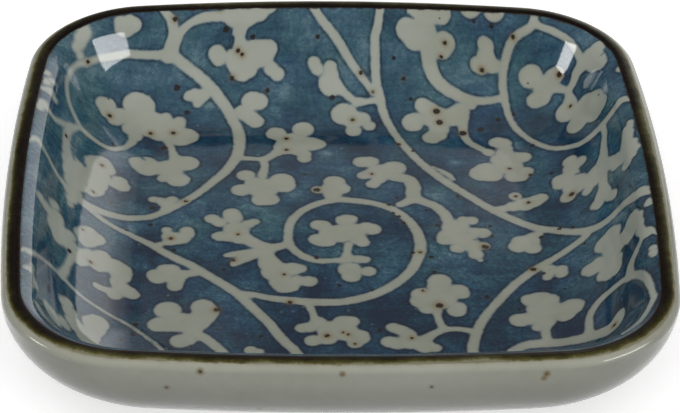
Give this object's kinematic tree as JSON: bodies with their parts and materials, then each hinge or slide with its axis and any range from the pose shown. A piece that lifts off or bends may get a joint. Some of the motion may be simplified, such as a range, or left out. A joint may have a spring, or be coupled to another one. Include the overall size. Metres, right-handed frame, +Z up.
{
  "type": "soy sauce dish",
  "caption": "Small square stoneware sauce dish with bowed sides, round corners, a curved well, a foot ring, a blue painted scroll inside, clear glaze and an iron-brown lip.",
  "frame": {"origin": "middle of the dish's outline, at the height of the foot ring's resting face", "axes": "+Z up out of the well; +X and +Y across the flats, with -Y the side that faces the camera in the picture"},
  "size_m": [0.096, 0.0972, 0.0185],
  "materials": {
    "stoneware": "fired pressed clay under the coats",
    "bare_clay": "unglazed, wiped, slightly rough",
    "cobalt": "brushed cobalt blue ground with a pale scroll left open",
    "clear_glaze": "glossy, faintly grey-green clear glaze over the painting",
    "iron_brown": "glossy dark iron-brown, thinning to olive",
    "pale_glaze": "glossy pale grey-green with sparse iron specks"
  },
  "bodies": {
    "root": {"clay_body": "stoneware", "foot_ring": "bare_clay", "cobalt_painting": "cobalt", "inner_glaze": "clear_glaze", "rim_band": "iron_brown", "outer_glaze": "pale_glaze", "base_glaze": "pale_glaze"}
  },
  "joints": []
}
